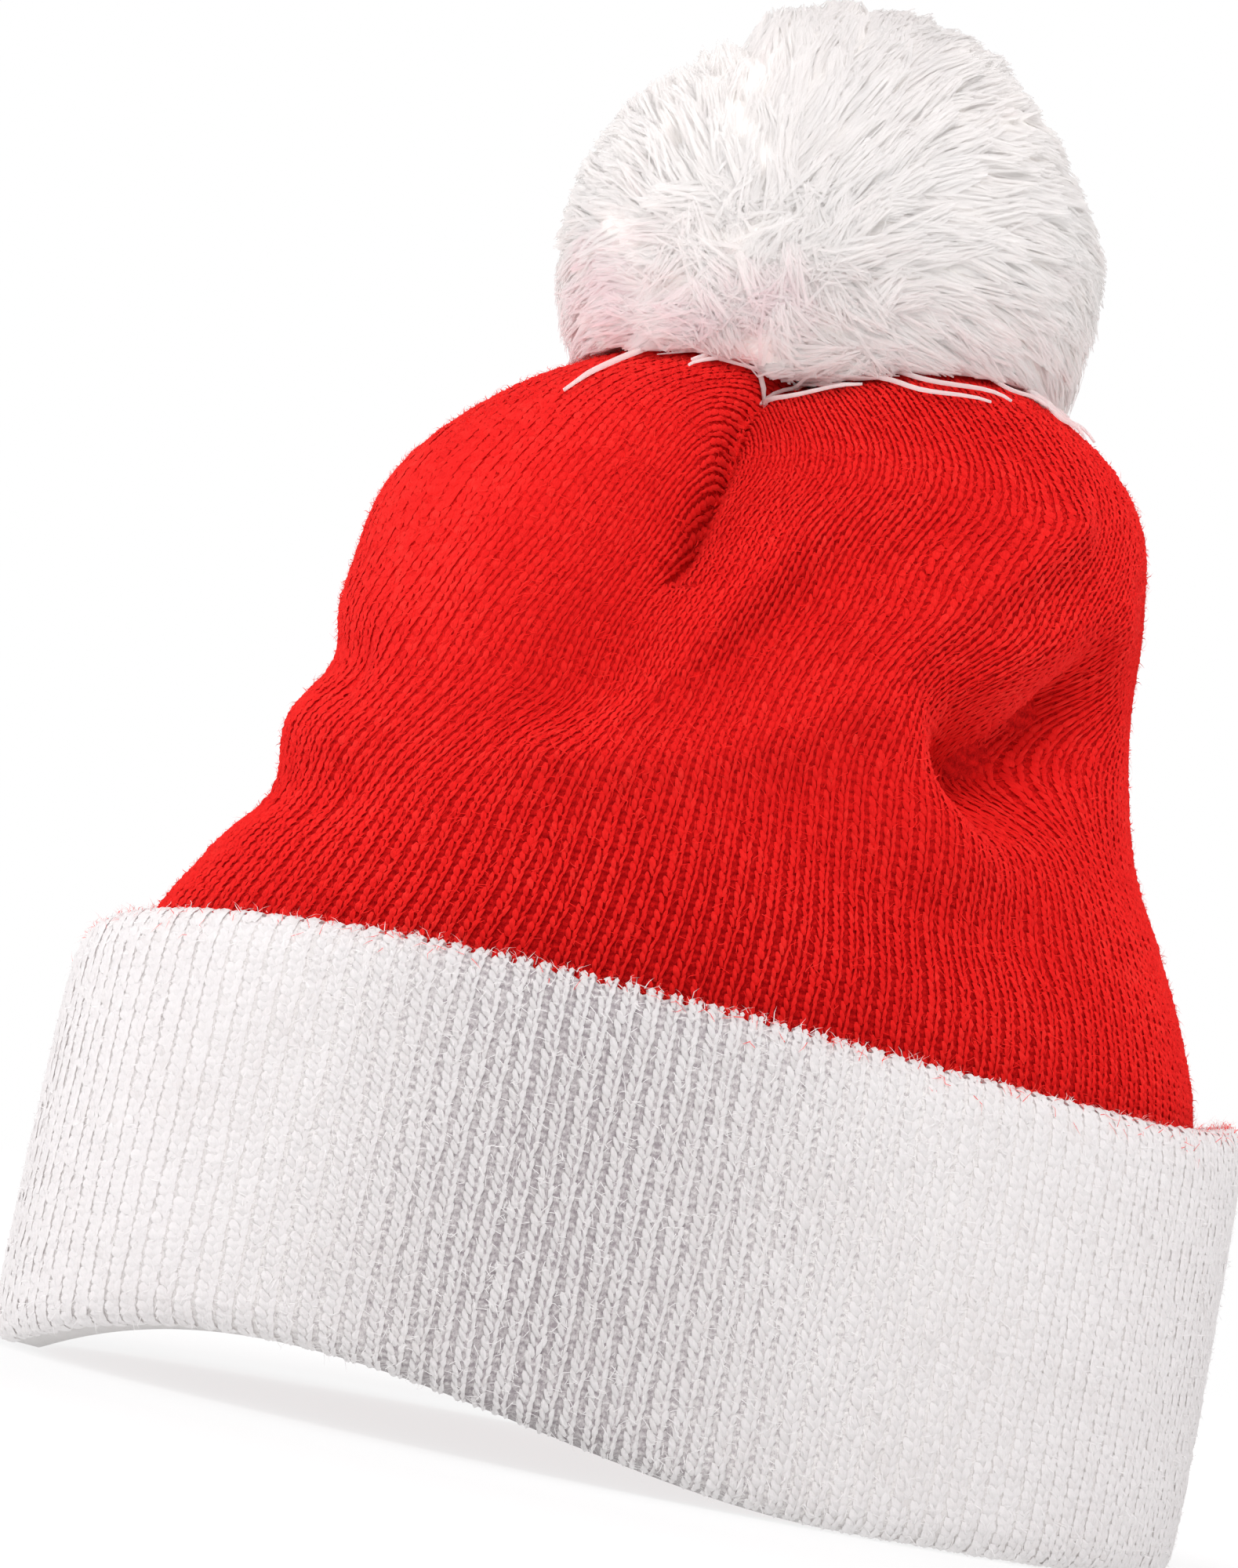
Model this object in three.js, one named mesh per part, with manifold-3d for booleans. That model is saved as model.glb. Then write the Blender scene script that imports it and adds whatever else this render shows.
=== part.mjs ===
// A knitted winter hat: a darted crown, a ribbed cuff turned up outside it and a yarn pompom on top.
// Millimetres, +Z up. The hat stands on its rim on the plane z = 0 and its front faces -Y.
// Bearings are degrees round the hat: 0 at the front, 90 on the +X side, 180 at the back.
import * as THREE from "three";
import { mergeVertices } from "three/addons/utils/BufferGeometryUtils.js";
import Module from "manifold-3d";

const solids = await Module();
solids.setup();

// Driving dimensions of the cuff and of the knit
const CUFF_HALF_WIDTH = 99.8;
const CUFF_HALF_DEPTH = 78;
const CUFF_HEIGHT = 71;
const KNIT = 3.2;
const BAND = 2 * KNIT;
const SLOT = 1.2;
const JOIN_HEIGHT = 45;
const GAP = 0.3;
const RIBS = 162;
const RIB_DEPTH = 1.5;

// The rim is pressed flat on the surface; on the left it arches up off it, in front and behind.
const RIM_WAVES = [
  { bearing: -30, spread: 56, lift: 10.8 },
  { bearing: -141, spread: 50, lift: 9.5 },
];
const CUFF_TOP_WAVES = [
  { bearing: -27, spread: 70, lift: 4.4 },
  { bearing: 95, spread: 45, lift: 4.5 },
  { bearing: -96, spread: 40, lift: -2.5 },
];

// The wall line shared by the crown and by the white layer behind the cuff
const WALL_HALF_WIDTH = CUFF_HALF_WIDTH - BAND - SLOT;
const WALL_HALF_DEPTH = CUFF_HALF_DEPTH - BAND - SLOT;

// The crown's outside, section by section: how far it stands from the hat's axis each way, and how many
// rings of facets lie between this section and the next one up.
const WALL_SIDES = { left: WALL_HALF_WIDTH, right: WALL_HALF_WIDTH };
const WALL_ENDS = { front: WALL_HALF_DEPTH, back: WALL_HALF_DEPTH };
const CROWN_SECTIONS = [
  { height: JOIN_HEIGHT, ...WALL_SIDES, ...WALL_ENDS, rings: 1 },
  { height: 72, left: 88.5, right: 90.5, front: 69, back: 69, rings: 2 },
  { height: 86, left: 81.5, right: 86.5, front: 67.5, back: 67, rings: 2 },
  { height: 100, left: 74.5, right: 80, front: 65, back: 64.5, rings: 3 },
  { height: 115, left: 70.5, right: 72.6, front: 62.5, back: 62, rings: 4 },
  { height: 135, left: 67.8, right: 68, front: 61, back: 60, rings: 3 },
  { height: 155, left: 61.6, right: 66.4, front: 57, back: 56, rings: 2 },
  { height: 170, left: 48.5, right: 64, front: 49, back: 49, rings: 1 },
  { height: 180, left: 33, right: 56.5, front: 38.5, back: 39, rings: 1 },
  { height: 186.5, left: 15, right: 43, front: 25, back: 26, rings: 1 },
  { height: 190, left: 4, right: 21, front: 12, back: 12, rings: 1 },
  { height: 191, left: -6, right: 6, front: 0, back: 0, rings: 0 },
];

// Folds of the crown: each follows a bent line from its start over its bend to its end, in bearing and
// height. Depth is outward, so a valley's is negative.
const FOLDS = [
  { fold: "valley below dart", b0: -12, h0: 146, b1: -10, h1: 135, b2: -23, h2: 118, width: 7, depth: -3.6 },
  { fold: "lip left of dart", b0: -28, h0: 166, b1: -33, h1: 152, b2: -38, h2: 138, width: 9, depth: 2 },
  { fold: "first ridge", b0: 3, h0: 150, b1: 2, h1: 136, b2: -13, h2: 115, width: 4.6, depth: 2.6 },
  { fold: "hollow past it", b0: 22, h0: 156, b1: 9, h1: 134, b2: -15, h2: 118, width: 6.2, depth: -3.4 },
  { fold: "long ridge, top", b0: 44, h0: 161, b1: 29, h1: 144, b2: 16, h2: 125, width: 6.4, depth: 3.2 },
  { fold: "long ridge, foot", b0: 16, h0: 125, b1: 1, h1: 107, b2: -22, h2: 107, width: 7.4, depth: 2.6 },
  { fold: "hollow past it", b0: 28, h0: 142, b1: 24, h1: 135, b2: 20, h2: 130, width: 6, depth: -1.6 },
  { fold: "dent", b0: 35, h0: 120, b1: 45, h1: 123, b2: 59, h2: 137, width: 9, depth: -10 },
  { fold: "bottom of dent", b0: 36, h0: 120, b1: 40, h1: 120, b2: 45, h2: 122, width: 7, depth: -4 },
  { fold: "roll above dent", b0: 40, h0: 137, b1: 50, h1: 144, b2: 62, h2: 148, width: 8, depth: 2.8 },
  { fold: "ridge left of dent", b0: 21, h0: 123, b1: 24, h1: 115, b2: 30, h2: 108, width: 8.5, depth: 3.6 },
  { fold: "hollow above cuff", b0: 9, h0: 106, b1: 17, h1: 89, b2: 40, h2: 95, width: 8.4, depth: -3.4 },
  { fold: "upper left crease", b0: -104, h0: 125, b1: -88, h1: 125, b2: -62, h2: 119, width: 6, depth: -2.6 },
  { fold: "left roll", b0: -108, h0: 111, b1: -88, h1: 112, b2: -58, h2: 106, width: 7, depth: 1.8 },
  { fold: "lower left crease", b0: -104, h0: 99, b1: -85, h1: 100, b2: -50, h2: 97, width: 7, depth: -2.4 },
  { fold: "back hollow", b0: 150, h0: 138, b1: 176, h1: 124, b2: 206, h2: 116, width: 11, depth: -3.2 },
  { fold: "back roll", b0: 146, h0: 116, b1: 172, h1: 106, b2: 200, h2: 98, width: 10, depth: 2.4 },
];

// Three darts close the crown's top; the cloth rolls over into each one from its left. The knit counts
// its bearing evenly by ribs, which sit closer together on the right side than on the left.
const DARTS = 3;
const FIRST_DART = -21.5;
const DART_HEIGHT = 139;
const DART_DEPTH = 5;
const DART_WIDTH_LEFT = 3.8;
const DART_WIDTH_RIGHT = 16;
const GORE_PUFF = 2.2;
const RIB_CROWDING = 0.12;
const EVEN_PITCH = 0.066;

// The crown is twisted a little on its way up: degrees of turn between two heights.
const TWISTS = [
  { turn: 8, from: 112, to: 146 },
  { turn: -11, from: 146, to: 182 },
];

const POMPOM = { x: 2.6, y: 0, z: 206, backing: 41.5, reach: 48.4, ragged: 2.6, lean: 0.06, detail: 5 };

// The crown's columns of facets stand closest together where its folds are.
const COLUMNS = 66;
const COLUMN_CROWDING = 0.35;
const CROWDED_AT = 35;
const RIB_COLUMNS = 2 * RIBS;
const RED = 0xc41018;
const WHITE = 0xece7e4;

const radians = THREE.MathUtils.degToRad;
const smooth = THREE.MathUtils.smoothstep;

// A soft wave along a bearing, exactly nothing outside its spread.
function waves(table, bearing) {
  let total = 0;
  for (const wave of table) {
    const apart = Math.abs(((bearing - wave.bearing + 540) % 360) - 180);
    if (apart < wave.spread) {
      total += wave.lift * 0.5 * (1 + Math.cos((Math.PI * apart) / wave.spread));
    }
  }
  return total;
}

// The bearing on the hat of a place in the knit.
function bearingOf(knit, height) {
  const turn = radians(knit);
  const shift = RIB_CROWDING * (Math.cos(turn) - 1) - EVEN_PITCH * Math.sin(2 * turn);
  let bearing = knit + THREE.MathUtils.radToDeg(shift);
  for (const twist of TWISTS) {
    bearing += twist.turn * smooth(height, twist.from, twist.to);
  }
  return bearing;
}

function curveOf(columns) {
  const points = CROWN_SECTIONS.map((row) => new THREE.Vector3(...columns.map((name) => row[name])));
  return new THREE.CatmullRomCurve3(points, false, "catmullrom", 0.5);
}
const sideCurve = curveOf(["height", "left", "right"]);
const depthCurve = curveOf(["height", "front", "back"]);

// A point of the crown's plain outside, before folds and darts.
function crownPlain(bearing, rise) {
  const side = sideCurve.getPoint(rise);
  const depth = depthCurve.getPoint(rise);
  const turn = radians(bearing);
  const halfWidth = (side.y + side.z) / 2;
  const halfDepth = (depth.y + depth.z) / 2;
  const x = (side.z - side.y) / 2 + halfWidth * Math.sin(turn);
  const y = (depth.z - depth.y) / 2 - halfDepth * Math.cos(turn);
  return new THREE.Vector3(x, y, side.x);
}

function crownNormal(bearing, rise) {
  const step = 0.004;
  const low = Math.max(0, rise - step);
  const high = Math.min(1 - step, rise + step);
  const up = crownPlain(bearing, high).sub(crownPlain(bearing, low));
  const across = crownPlain(bearing + 1, Math.min(rise, 1 - step));
  across.sub(crownPlain(bearing - 1, Math.min(rise, 1 - step)));
  return across.cross(up).normalize();
}

// The nearest distance from a place on the crown to a fold's bent line, measured over the cloth.
function foldDistance(row, bearing, height, girth) {
  let nearest = Infinity;
  const pieces = 14;
  for (let i = 0; i <= pieces; i += 1) {
    const t = i / pieces;
    const u = 1 - t;
    const b = u * u * row.b0 + 2 * u * t * row.b1 + t * t * row.b2;
    const h = u * u * row.h0 + 2 * u * t * row.h1 + t * t * row.h2;
    const apart = ((bearing - b + 540) % 360) - 180;
    nearest = Math.min(nearest, Math.hypot(radians(apart) * girth, height - h));
  }
  return nearest;
}

// How far the crown's cloth stands out from its plain shape at a place in the knit.
function crownRelief(knit, bearing, rise, plain) {
  const girth = Math.hypot(plain.x, plain.y);
  let relief = 0;
  for (const row of FOLDS) {
    const distance = foldDistance(row, bearing, plain.z, girth);
    relief += row.depth * Math.exp(-((distance / row.width) ** 2));
  }
  const gore = 360 / DARTS;
  const fromDart = ((knit - FIRST_DART + gore / 2 + 720) % gore) - gore / 2;
  const dart = smooth(plain.z, DART_HEIGHT - 8, DART_HEIGHT + 16) * (1 - smooth(rise, 0.93, 1));
  const across = radians(fromDart) * girth;
  const steep = Math.exp(across / DART_WIDTH_LEFT);
  const gentle = Math.exp(-((across / DART_WIDTH_RIGHT) ** 2));
  relief -= dart * DART_DEPTH * (across < 0 ? steep : gentle);
  relief += dart * GORE_PUFF * Math.sin((Math.PI * Math.abs(fromDart)) / gore) ** 2;
  return relief;
}

function crownPoint(knit, rise, inset) {
  const bearing = bearingOf(knit, sideCurve.getPoint(rise).x);
  const plain = crownPlain(bearing, rise);
  const out = crownRelief(knit, bearing, rise, plain) - inset;
  return plain.addScaledVector(crownNormal(bearing, rise), out);
}

function ring(count, place) {
  return Array.from({ length: count }, (_, i) => place((360 * i) / count + FIRST_DART, i));
}

// A closed skin over rings of points; neighbouring rings may differ in count and a pole is one point.
// Between rings of one count, each four-sided facet is split along its shorter diagonal.
function skin(rings, closed) {
  const positions = [];
  const starts = [];
  for (const points of rings) {
    starts.push(positions.length / 3);
    for (const point of points) {
      positions.push(point.x, point.y, point.z);
    }
  }
  const faces = [];
  const last = closed ? rings.length : rings.length - 1;
  for (let r = 0; r < last; r += 1) {
    const s = (r + 1) % rings.length;
    const na = rings[r].length;
    const nb = rings[s].length;
    const a = (i) => starts[r] + (i % na);
    const b = (j) => starts[s] + (j % nb);
    const stepsA = na > 1 ? na : 0;
    const stepsB = nb > 1 ? nb : 0;
    let i = 0;
    let j = 0;
    while (i < stepsA || j < stepsB) {
      let nextA = i < stepsA ? (i + 0.5) / na : Infinity;
      const nextB = j < stepsB ? (j + 0.5) / nb : Infinity;
      if (na === nb && i === j) {
        const rising = rings[r][i].distanceTo(rings[s][(j + 1) % nb]);
        const falling = rings[r][(i + 1) % na].distanceTo(rings[s][j]);
        nextA += falling <= rising ? -0.1 / na : 0.1 / na;
      }
      if (nextA <= nextB) {
        faces.push(a(i), a(i + 1), b(j));
        i += 1;
      } else {
        faces.push(a(i), b(j + 1), b(j));
        j += 1;
      }
    }
  }
  const geometry = new THREE.BufferGeometry();
  geometry.setAttribute("position", new THREE.Float32BufferAttribute(positions, 3));
  geometry.setIndex(faces);
  return geometry;
}

// Every rise that carries a ring of facets, from the crown's lower edge up to just under its apex.
function crownRises(lowest) {
  const rises = [];
  const last = CROWN_SECTIONS.length - 1;
  CROWN_SECTIONS.forEach((row, i) => {
    for (let k = 0; k < row.rings; k += 1) {
      rises.push((i + k / row.rings) / last);
    }
  });
  return rises.filter((rise) => rise >= lowest);
}

function crownColumn(even) {
  const turn = radians(even - FIRST_DART);
  const densest = radians(CROWDED_AT);
  const shift = COLUMN_CROWDING * (Math.sin(turn - densest) + Math.sin(densest));
  return even - THREE.MathUtils.radToDeg(shift);
}

function crownRings(lowest, inset) {
  const place = (rise) => (even) => crownPoint(crownColumn(even), rise, inset);
  return crownRises(lowest).map((rise) => ring(COLUMNS, place(rise)));
}

function apex(inset) {
  const top = crownPlain(0, 1);
  return [new THREE.Vector3(top.x, top.y, top.z - inset)];
}

function makeCrown() {
  const outside = crownRings(0, 0);
  const inside = crownRings(0, KNIT);
  for (const point of inside[0]) {
    point.z = JOIN_HEIGHT;
  }
  for (const point of outside[0]) {
    point.z = JOIN_HEIGHT;
  }
  return skin([apex(KNIT), ...inside.reverse(), ...outside, apex(0)], false);
}

// One ring of the cuff: an offset from its outer face and a height on its profile, which the rim's and
// the top edge's waves then carry up.
function cuffRing(count, offset, height, ribDepth) {
  return ring(count, (knit, i) => {
    const bearing = bearingOf(knit, 0);
    const turn = radians(bearing);
    const out = new THREE.Vector2(Math.sin(turn) * CUFF_HALF_DEPTH, -Math.cos(turn) * CUFF_HALF_WIDTH);
    out.normalize();
    const rib = ribDepth * (i % 2 === 0 ? 0 : -1);
    const low = waves(RIM_WAVES, bearing);
    const high = waves(CUFF_TOP_WAVES, bearing);
    const share = Math.min(1, height / CUFF_HEIGHT);
    const x = CUFF_HALF_WIDTH * Math.sin(turn) + out.x * (offset + rib);
    const y = -CUFF_HALF_DEPTH * Math.cos(turn) + out.y * (offset + rib);
    return new THREE.Vector3(x, y, height + low * (1 - share) + high * share);
  });
}

function makeCuff() {
  const wall = -(BAND + SLOT);
  const level = JOIN_HEIGHT - GAP;
  const top = CUFF_HEIGHT;
  const profile = [
    { offset: -2.2, height: 0, columns: RIB_COLUMNS, rib: 0.5 },
    { offset: -0.3, height: 4.5, columns: RIB_COLUMNS, rib: RIB_DEPTH },
    { offset: -0.6, height: top - 5, columns: RIB_COLUMNS, rib: RIB_DEPTH },
    { offset: -BAND / 2, height: top, columns: RIB_COLUMNS, rib: 0.3 },
    { offset: -BAND + 0.6, height: top - 3, columns: COLUMNS, rib: 0 },
    { offset: -BAND, height: top - 9, columns: COLUMNS, rib: 0 },
    { offset: -BAND, height: 11, columns: COLUMNS, rib: 0 },
    { offset: wall, height: 11, columns: COLUMNS, rib: 0 },
    { offset: wall, height: level, columns: COLUMNS, rib: 0 },
    { offset: wall - KNIT, height: level, columns: COLUMNS, rib: 0 },
    { offset: wall - KNIT, height: 5, columns: COLUMNS, rib: 0 },
    { offset: wall - KNIT + 2.2, height: 0, columns: COLUMNS, rib: 0 },
  ];
  const rings = profile.map((row) => cuffRing(row.columns, row.offset, row.height, row.rib));
  for (const points of [rings[8], rings[9]]) {
    for (const point of points) {
      point.z = level;
    }
  }
  return skin(rings, true);
}

function toSolid(geometry) {
  geometry.deleteAttribute("normal");
  geometry.deleteAttribute("uv");
  const merged = mergeVertices(geometry, 1e-4);
  const mesh = new solids.Mesh({
    numProp: 3,
    vertProperties: new Float32Array(merged.attributes.position.array),
    triVerts: new Uint32Array(merged.index.array),
  });
  return new solids.Manifold(mesh);
}

function fromSolid(solid) {
  const mesh = solid.getMesh();
  const geometry = new THREE.BufferGeometry();
  geometry.setAttribute("position", new THREE.Float32BufferAttribute(mesh.vertProperties, 3));
  geometry.setIndex(new THREE.Uint32BufferAttribute(mesh.triVerts, 1));
  return geometry;
}

// A repeatable scatter between -1 and 1.
function scatter(index, salt) {
  const wave = Math.sin(index * 12.9898 + salt * 78.233) * 43758.5453;
  return 2 * (wave - Math.floor(wave)) - 1;
}

// The pompom: a ball of pointed locks. Each corner of an even ball carries one lock, whose foot is the
// ring of face centres round that corner, so neighbouring locks share their feet and fuse into one body.
function makePompom() {
  const even = new THREE.IcosahedronGeometry(1, POMPOM.detail);
  even.deleteAttribute("normal");
  even.deleteAttribute("uv");
  const ball = mergeVertices(even, 1e-4);
  const corners = ball.attributes.position;
  const index = ball.index.array;
  const centre = new THREE.Vector3(POMPOM.x, POMPOM.y, POMPOM.z);
  const points = [];
  for (let i = 0; i < corners.count; i += 1) {
    const way = new THREE.Vector3().fromBufferAttribute(corners, i);
    way.x += POMPOM.lean * scatter(i, 1);
    way.y += POMPOM.lean * scatter(i, 2);
    way.z += POMPOM.lean * scatter(i, 3);
    const reach = POMPOM.reach + POMPOM.ragged * scatter(i, 4);
    points.push(way.normalize().multiplyScalar(reach).add(centre));
  }
  const feet = points.length;
  const across = new Map();
  for (let f = 0; f < index.length / 3; f += 1) {
    const foot = new THREE.Vector3();
    for (let k = 0; k < 3; k += 1) {
      foot.add(new THREE.Vector3().fromBufferAttribute(corners, index[3 * f + k]));
      across.set(`${index[3 * f + k]} ${index[3 * f + ((k + 1) % 3)]}`, f);
    }
    points.push(foot.normalize().multiplyScalar(POMPOM.backing).add(centre));
  }
  const faces = [];
  for (const [edge, f] of across) {
    const [from, to] = edge.split(" ");
    faces.push(Number(from), feet + across.get(`${to} ${from}`), feet + f);
  }
  const locks = new THREE.BufferGeometry().setFromPoints(points);
  locks.setIndex(faces);
  const floor = new THREE.Vector3(0, 0, 140);
  const seat = toSolid(skin([[floor], ...crownRings(0.5, -GAP), apex(-GAP)], false));
  return fromSolid(toSolid(locks).subtract(seat));
}

const hat = new THREE.Group();
hat.name = "christmas_beanie";
const pieces = [
  { name: "crown", geometry: makeCrown(), color: RED },
  { name: "cuff", geometry: makeCuff(), color: WHITE },
  { name: "pompom", geometry: makePompom(), color: WHITE },
];
for (const piece of pieces) {
  const material = new THREE.MeshStandardMaterial({ color: piece.color, roughness: 0.95 });
  const mesh = new THREE.Mesh(piece.geometry, material);
  mesh.name = piece.name;
  hat.add(mesh);
}

export default hat;
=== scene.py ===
import math

import bpy
import numpy as np
from mathutils import Matrix, Vector


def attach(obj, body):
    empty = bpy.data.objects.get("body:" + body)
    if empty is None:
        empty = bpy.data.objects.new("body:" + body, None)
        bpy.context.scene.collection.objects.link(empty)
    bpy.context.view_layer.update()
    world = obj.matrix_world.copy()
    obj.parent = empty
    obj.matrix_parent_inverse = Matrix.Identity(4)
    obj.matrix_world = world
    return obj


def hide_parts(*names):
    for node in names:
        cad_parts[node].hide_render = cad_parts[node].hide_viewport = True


# A knitted winter hat that stands on its rim: a red darted crown, a white ribbed cuff turned up
# outside it and a white yarn pompom. Lengths are millimetres until a mesh is made. Bearings are
# degrees round the hat: 0 at the front (-Y), 90 on the +X side. A place in the knit is its turn,
# counted evenly by ribs, and its way along the cloth from the lower edge up.
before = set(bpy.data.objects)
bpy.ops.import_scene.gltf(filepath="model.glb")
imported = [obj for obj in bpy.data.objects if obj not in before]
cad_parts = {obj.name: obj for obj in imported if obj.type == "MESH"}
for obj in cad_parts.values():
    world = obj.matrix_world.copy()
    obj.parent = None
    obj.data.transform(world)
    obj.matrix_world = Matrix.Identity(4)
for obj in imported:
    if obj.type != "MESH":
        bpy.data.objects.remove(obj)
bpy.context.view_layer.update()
chance = np.random.default_rng(1225)

MM = 0.001
# The lowest that any fibre reaches
ABOVE_FLOOR = 0.05

# Cuff: a doubled band turned up round a wall of single knit, with a slot between the two
RIBS = 162
KNIT = 3.2
BAND = 2 * KNIT
SLOT = 1.2
SLOT_FLOOR = 11
WALL = -(BAND + SLOT)
INSIDE = WALL - KNIT
JOIN_HEIGHT = 45
WALL_TOP = JOIN_HEIGHT - 0.3
CUFF_HEIGHT = 71
CUFF_HALF_WIDTH = 99.8
CUFF_HALF_DEPTH = 78
WALL_HALF_WIDTH = CUFF_HALF_WIDTH + WALL
WALL_HALF_DEPTH = CUFF_HALF_DEPTH + WALL

# Waves of the cuff's rim and of its top edge: bearing, spread, lift
RIM_WAVES = [(-30, 56, 10.8), (-141, 50, 9.5)]
CUFF_TOP_WAVES = [(-27, 70, 4.4), (95, 45, 4.5), (-96, 40, -2.5)]

# The band's face, from under the rim over the top edge and down behind it: offset, height
CUFF_FACE = [
    (-4.6, 0.1), (-2.6, 0.3), (-1.2, 1.8), (-0.4, 4.6), (0, 14), (0, 34), (-0.2, 56), (-0.5, 64.5),
    (-1.3, 68.6), (-2.4, 70.4), (-3.6, 71), (-4.9, 70.2), (-5.9, 67.4), (-6.3, 63), (-BAND, 58),
]
# The rest of the cuff, from the slot's floor up the wall and down inside it: offset, height
CUFF_REST = [
    (-BAND, SLOT_FLOOR), (WALL, SLOT_FLOOR), (WALL, WALL_TOP), (INSIDE, WALL_TOP),
    (INSIDE, 24), (INSIDE, 5), (INSIDE + 0.8, 1.4), (INSIDE + 2.2, 0.1),
]
# The face's top edge lies this far before its end
EDGE_BACK = 12

# The crown's outside: height, then how far it stands from the axis to the left, right, front, back
CROWN_SECTIONS = np.array([
    (JOIN_HEIGHT, WALL_HALF_WIDTH, WALL_HALF_WIDTH, WALL_HALF_DEPTH, WALL_HALF_DEPTH),
    (72, 88.5, 90.5, 69, 69),
    (86, 81.5, 86.5, 67.5, 67),
    (100, 74.5, 80, 65, 64.5),
    (115, 70.5, 72.6, 62.5, 62),
    (135, 67.8, 68, 61, 60),
    (155, 61.6, 66.4, 57, 56),
    (170, 48.5, 64, 49, 49),
    (180, 33, 56.5, 38.5, 39),
    (186.5, 15, 43, 25, 26),
    (190, 4, 21, 12, 12),
    (191, -6, 6, 0, 0),
])

# Folds of the crown: start, bend and end of each one's line as bearing and height, width, depth
FOLDS = {
    "valley below dart": (-12, 146, -10, 135, -23, 118, 7, -3.6),
    "lip left of dart": (-28, 166, -33, 152, -38, 138, 9, 2),
    "first ridge": (3, 150, 2, 136, -13, 115, 4.6, 2.6),
    "hollow past first ridge": (22, 156, 9, 134, -15, 118, 6.2, -3.4),
    "long ridge, top": (44, 161, 29, 144, 16, 125, 6.4, 3.2),
    "long ridge, foot": (16, 125, 1, 107, -22, 107, 7.4, 2.6),
    "hollow past long ridge": (28, 142, 24, 135, 20, 130, 6, -1.6),
    "dent": (35, 120, 45, 123, 59, 137, 9, -10),
    "bottom of dent": (36, 120, 40, 120, 45, 122, 7, -4),
    "roll above dent": (40, 137, 50, 144, 62, 148, 8, 2.8),
    "ridge left of dent": (21, 123, 24, 115, 30, 108, 8.5, 3.6),
    "hollow above cuff": (9, 106, 17, 89, 40, 95, 8.4, -3.4),
    "upper left crease": (-104, 125, -88, 125, -62, 119, 6, -2.6),
    "left roll": (-108, 111, -88, 112, -58, 106, 7, 1.8),
    "lower left crease": (-104, 99, -85, 100, -50, 97, 7, -2.4),
    "back hollow": (150, 138, 176, 124, 206, 116, 11, -3.2),
    "back roll": (146, 116, 172, 106, 200, 98, 10, 2.4),
}

# Creases too sharp for the solid's facets, in the same columns
CREASES = {
    "under the roll": (32, 119, 43, 121, 58, 135, 4, -4),
    "crest of first ridge": (3, 148, 2, 136, -13, 115, 2.6, 1.3),
    "foot of first ridge": (11, 150, 7, 136, -9, 118, 3, -1.2),
    "crest of long ridge, top": (43, 160, 29, 145, 18, 128, 3.2, 1.6),
    "crest of long ridge, foot": (14, 123.5, 0, 107, -22, 107, 3.4, 1.4),
    "where the long ridge bends": (18, 127, 16, 125, 14, 123, 6.5, -2.8),
    "lip of the dent": (23, 124, 25, 118, 29, 111, 4, 1.6),
}

# Darts: the cloth dips steeply on a dart's left and gently on its right, and its seam is a narrow groove
DARTS = 3
GORE = 360 / DARTS
GORE_RIBS = RIBS / DARTS
FIRST_DART = -21.5
DART_HEIGHT = 139
DART_DEPTH = 5
DART_WIDTH_LEFT = 3.8
DART_WIDTH_RIGHT = 16
# Heights between which a dart opens, and the rise from which it closes again
DART_OPENS = (DART_HEIGHT - 8, DART_HEIGHT + 16)
DART_CLOSES = 0.93
GORE_PUFF = 2.2
SEAM_OPENS = (DART_HEIGHT - 3, DART_HEIGHT + 4)
SEAM_GROOVE = 7
SEAM_WIDTH = 1.3
# Towards the pompom the groove fades by this share between these heights
SEAM_FADE = 0.6
SEAM_FADE_HEIGHTS = (164, 177)

# Ribs crowd together towards one side and are evened out between width and depth
RIB_CROWDING = 0.12
EVEN_PITCH = 0.066
# The knit turns as it rises: degrees, from and to height
TWISTS = [(8, 112, 146), (-10, 156, 184)]
# Places where the cloth is drawn sideways: turn, from and to height, bearing, spread to left and right
PULLS = {
    "towards the dart": (12, 96, 122, -44, 30, 34),
    "left shoulder": (5, 124, 165, -46, 34, 30),
    "right shoulder": (32, 142, 188, 58, 56, 60),
    "into the dent": (-6, 108, 124, 46, 14, 16),
    "out of the dent": (16, 124, 144, 46, 22, 24),
}

# Rubbed yarn: 1 is a felt, 0 plain yarn, and below 0 the ribs stand apart. The crown is felted on its
# left shoulder (bearing, spread, height, spread) and its ribs stand a little apart everywhere else
# This value also colours the knit: painted light where the yarn is felted, painted shade where the ribs
# stand apart
CROWN_FELT = (-72, 36, 155, 28)
CROWN_APART = 0.08
# Where they stand further apart: how far, bearing, spread, heights where it starts and is full
RIBS_APART = {"low at the front": (0.28, -2, 42, 114, 84), "above the folds": (0.05, 0, 34, 125, 150)}
# The cuff is felted at its sides and back, and its ribs stand apart at the front
# So the cuff's sides and back are painted lighter and its front painted darker: painted light and shade
CUFF_FELT = 0.9
CUFF_APART = 1.2
CUFF_APART_AT = -7
CUFF_APART_LEFT = 32
CUFF_APART_RIGHT = 44

# The cloth behind the stitches: its grid's degrees and rows, the share of the way to the apex that it
# covers, and how many rows apart the crown's inside is drawn
CLOTH_STEP = 1.5
CLOTH_ROWS = 110
CLOTH_END = 0.9995
INSIDE_STEP = 5
CUFF_ROWS = 30
# How far it lies below the stitches' crests, how felt lifts it and ribs apart lower it
CLOTH_BELOW_CREST = 0.55
CROWN_FELT_LIFT = 0.3
CROWN_FURROW = 1.6
CUFF_BELOW_CREST = 0.45
CUFF_FELT_LIFT = 0.25
CUFF_FURROW = 0.35
CUFF_FURROW_APART = 2.2
CUFF_LOWEST = 0.15
# How far apart the knit's pattern puts the rows of the cuff's rest
CUFF_REST_STEP = 12

# Stitches
CUFF_COURSE = 1.48
CROWN_COURSE = 1.42
CUFF_FIRST_COURSE = 0.6
CUFF_FIRST_RIB = -25
CROWN_STITCHES_FROM = 62
CROWN_STITCHES_TO = 188
TOP_PITCH = 0.86
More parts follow.
